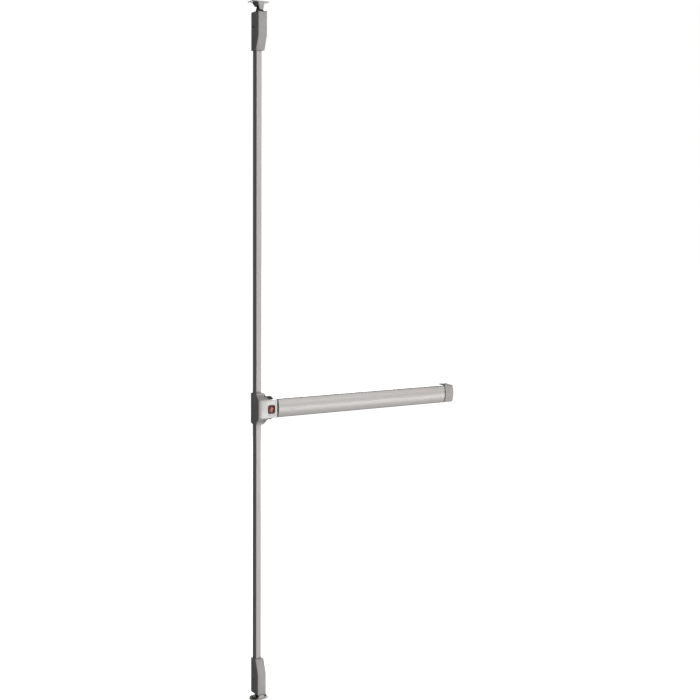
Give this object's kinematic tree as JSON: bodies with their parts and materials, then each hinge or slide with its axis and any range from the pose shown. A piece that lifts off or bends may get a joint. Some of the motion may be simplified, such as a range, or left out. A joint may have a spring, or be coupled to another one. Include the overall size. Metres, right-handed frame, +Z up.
{
  "type": "panic exit bar",
  "caption": "Push bar across a door that draws back a bolt at the top and a bolt at the floor through covered vertical rods, with strikes and end bracket.",
  "frame": {"origin": "on the face of the door, behind the rods, at the height of the bar centre line", "axes": "+X along the bar away from the rods, +Y into the door, +Z up the rods"},
  "size_m": [0.8552, 0.0619, 2.39],
  "materials": {
    "cover_grey": "moulded cover, fine satin grain",
    "channel_silver": "silver-grey lacquered aluminium",
    "nose_silver": "pale silver lacquer, satin",
    "bar_aluminium": "satin anodised extrusion",
    "black_nylon": "glass-filled black moulding",
    "black_metal": "black finished casting",
    "zinc_steel": "zinc plated",
    "screw_steel": "dark plated screw",
    "spring_steel": "drawn wire",
    "strike_grey": "grey lacquered metal",
    "badge_red": "dark red gloss",
    "badge_pale": "pale pink",
    "buffer_rubber": "black rubber"
  },
  "bodies": {
    "mounting": {"body_cover": "cover_grey", "upper_case_cover": "cover_grey", "lower_case_cover": "cover_grey", "end_cap": "cover_grey", "upper_rod_channel": "channel_silver", "lower_rod_channel": "channel_silver", "nose_cover": "nose_silver", "upper_rod_guides": "black_nylon", "lower_rod_guides": "black_nylon", "end_bracket": "black_nylon", "floor_socket": "black_nylon", "upper_case_frame": "black_metal", "lower_case_frame": "black_metal", "mechanism_base": "zinc_steel", "left_lever_pin": "zinc_steel", "right_lever_pin": "zinc_steel", "left_pin_clip": "zinc_steel", "right_pin_clip": "zinc_steel", "upper_crank_pin": "zinc_steel", "lower_crank_pin": "zinc_steel", "upper_case_screws": "screw_steel", "lower_case_screws": "screw_steel", "end_cap_screw": "screw_steel", "upper_bolt_spring": "spring_steel", "lower_bolt_spring": "spring_steel", "left_return_spring": "spring_steel", "right_return_spring": "spring_steel", "body_screws": "strike_grey", "top_strike": "strike_grey", "top_strike_shim": "strike_grey", "floor_strike": "strike_grey", "push_badge": "badge_red", "badge_mark": "badge_pale", "lever_buffers": "buffer_rubber"},
    "left_lever": {"left_lever": "black_nylon"},
    "push_bar": {"push_bar_profile": "bar_aluminium", "left_bar_plug": "black_nylon", "right_bar_plug": "black_nylon", "left_bar_pin": "zinc_steel", "right_bar_pin": "zinc_steel", "left_plug_screws": "screw_steel", "right_plug_screws": "screw_steel"},
    "right_lever": {"right_lever": "black_nylon"},
    "upper_crank": {"upper_crank": "zinc_steel", "upper_drive_pin": "zinc_steel"},
    "lower_crank": {"lower_crank": "zinc_steel", "lower_drive_pin": "zinc_steel"},
    "upper_rod": {"upper_rod": "zinc_steel", "upper_rod_fork": "zinc_steel", "upper_fork_nut": "zinc_steel", "upper_bolt": "black_metal", "upper_bolt_nut": "zinc_steel"},
    "lower_rod": {"lower_rod": "zinc_steel", "lower_rod_fork": "zinc_steel", "lower_fork_nut": "zinc_steel", "lower_bolt": "black_metal", "lower_bolt_nut": "zinc_steel"}
  },
  "joints": [
    {"name": "left_lever_hinge", "type": "hinge", "parent": "mounting", "child": "left_lever", "pos_m": [0.028, -0.025, 0], "axis": [0, 0, 1], "range_deg": [0, 20], "stiffness_Nm_per_rad": 2, "springref_deg": -20.05},
    {"name": "push_bar_hinge", "type": "hinge", "parent": "left_lever", "child": "push_bar", "pos_m": [0.08709, -0.03542, 0], "axis": [0, 0, 1], "range_deg": [-20, 0]},
    {"name": "right_lever_hinge", "type": "hinge", "parent": "mounting", "child": "right_lever", "pos_m": [0.802, -0.025, 0], "axis": [0, 0, 1], "range_deg": [-20, 0], "stiffness_Nm_per_rad": 2, "springref_deg": 20.05},
    {"name": "upper_crank_hinge", "type": "hinge", "parent": "mounting", "child": "upper_crank", "pos_m": [0, -0.0311, 0.02], "axis": [1, 0, 0], "range_deg": [-40, 0]},
    {"name": "lower_crank_hinge", "type": "hinge", "parent": "mounting", "child": "lower_crank", "pos_m": [0, -0.0311, -0.02], "axis": [1, 0, 0], "range_deg": [0, 40]},
    {"name": "upper_rod_slide", "type": "slide", "parent": "mounting", "child": "upper_rod", "axis": [0, 0, 1], "range_m": [-0.01318, 0], "stiffness_N_per_m": 300, "springref_m": 0.02, "deforming": ["upper_bolt_spring"]},
    {"name": "lower_rod_slide", "type": "slide", "parent": "mounting", "child": "lower_rod", "axis": [0, 0, 1], "range_m": [0, 0.01318], "stiffness_N_per_m": 300, "springref_m": -0.02, "deforming": ["lower_bolt_spring"]}
  ],
  "couplings": [
    {"joint": "push_bar_hinge", "follows": "left_lever_hinge", "ratio": -1},
    {"joint": "right_lever_hinge", "follows": "left_lever_hinge", "ratio": -1},
    {"joint": "upper_crank_hinge", "follows": "left_lever_hinge", "ratio": -2},
    {"joint": "lower_crank_hinge", "follows": "left_lever_hinge", "ratio": 2},
    {"joint": "upper_rod_slide", "follows": "left_lever_hinge", "m_per_rad": -0.037746},
    {"joint": "lower_rod_slide", "follows": "left_lever_hinge", "m_per_rad": 0.037746}
  ]
}
